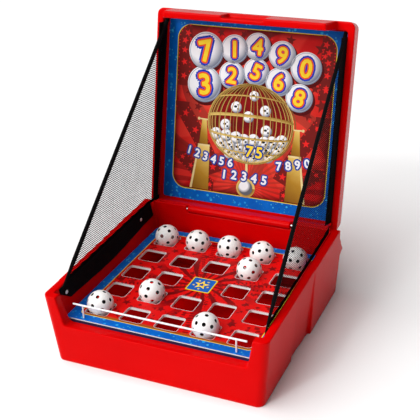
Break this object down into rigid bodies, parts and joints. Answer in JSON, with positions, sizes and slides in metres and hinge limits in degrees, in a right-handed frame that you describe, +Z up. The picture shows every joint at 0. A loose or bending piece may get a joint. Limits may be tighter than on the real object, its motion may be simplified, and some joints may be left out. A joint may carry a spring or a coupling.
{
  "type": "ball toss game case",
  "caption": "Table-top ball toss game: a red case with a holed board in its base, a hinged lid with a printed backdrop, side nets, a front rail and perforated balls.",
  "frame": {"origin": "centre of the case's footprint at table level, with the lid open", "axes": "+Z up, -Y towards the player, +X to the player's right"},
  "size_m": [0.3504, 0.4403, 0.4446],
  "materials": {
    "case_plastic": "glossy blow-moulded red",
    "pin_steel": "bright steel wire",
    "board_core": "white foamed board",
    "board_print": "gloss printed face, red with a blue border",
    "skirt_print": "dark blue printed strip",
    "label_print": "blue printed label with a yellow edge",
    "backdrop_print": "gloss printed picture, red with a blue border",
    "rail_plastic": "white moulded rail",
    "rivet_metal": "polished rivet heads",
    "ball_plastic": "white satin plastic",
    "net_mesh": "fine black knitted mesh",
    "net_binding": "black woven tape"
  },
  "bodies": {
    "base": {"base_shell": "case_plastic", "hinge_pin_left": "pin_steel", "hinge_pin_right": "pin_steel", "game_board": "board_core", "board_print": "board_print", "board_skirt": "skirt_print", "free_space_label": "label_print", "ball_rail": "rail_plastic", "base_rivets": "rivet_metal", "net_left": "net_mesh", "net_binding_left": "net_binding", "base_tape_left": "net_binding", "net_right": "net_mesh", "net_binding_right": "net_binding", "base_tape_right": "net_binding"},
    "lid": {"lid_shell": "case_plastic", "backdrop_panel": "board_core", "backdrop_print": "backdrop_print", "lid_rivets": "rivet_metal", "lid_tape_left": "net_binding", "lid_tape_right": "net_binding"},
    "ball_1": {"ball_1": "ball_plastic"},
    "ball_2": {"ball_2": "ball_plastic"},
    "ball_3": {"ball_3": "ball_plastic"},
    "ball_4": {"ball_4": "ball_plastic"},
    "ball_5": {"ball_5": "ball_plastic"},
    "ball_6": {"ball_6": "ball_plastic"},
    "ball_7": {"ball_7": "ball_plastic"},
    "ball_8": {"ball_8": "ball_plastic"},
    "ball_9": {"ball_9": "ball_plastic"}
  },
  "joints": [
    {"name": "lid_hinge", "type": "hinge", "parent": "base", "child": "lid", "pos_m": [0, 0.1552, 0.1136], "axis": [-1, 0, 0], "range_deg": [-102.7, 0], "deforming": ["net_left", "net_binding_left", "net_right", "net_binding_right"]},
    {"name": "ball_1_lift", "type": "slide", "parent": "base", "child": "ball_1", "axis": [0, 0, 1], "range_m": [0, 0.12]},
    {"name": "ball_2_lift", "type": "slide", "parent": "base", "child": "ball_2", "axis": [0, 0, 1], "range_m": [0, 0.12]},
    {"name": "ball_3_lift", "type": "slide", "parent": "base", "child": "ball_3", "axis": [0, 0, 1], "range_m": [0, 0.12]},
    {"name": "ball_4_lift", "type": "slide", "parent": "base", "child": "ball_4", "axis": [0, 0, 1], "range_m": [0, 0.12]},
    {"name": "ball_5_lift", "type": "slide", "parent": "base", "child": "ball_5", "axis": [0, 0, 1], "range_m": [0, 0.12]},
    {"name": "ball_6_lift", "type": "slide", "parent": "base", "child": "ball_6", "axis": [0, 0, 1], "range_m": [0, 0.12]},
    {"name": "ball_7_lift", "type": "slide", "parent": "base", "child": "ball_7", "axis": [0, 0, 1], "range_m": [0, 0.12]},
    {"name": "ball_8_lift", "type": "slide", "parent": "base", "child": "ball_8", "axis": [0, 0, 1], "range_m": [0, 0.12]},
    {"name": "ball_9_lift", "type": "slide", "parent": "base", "child": "ball_9", "axis": [0, 0, 1], "range_m": [0, 0.12]}
  ]
}
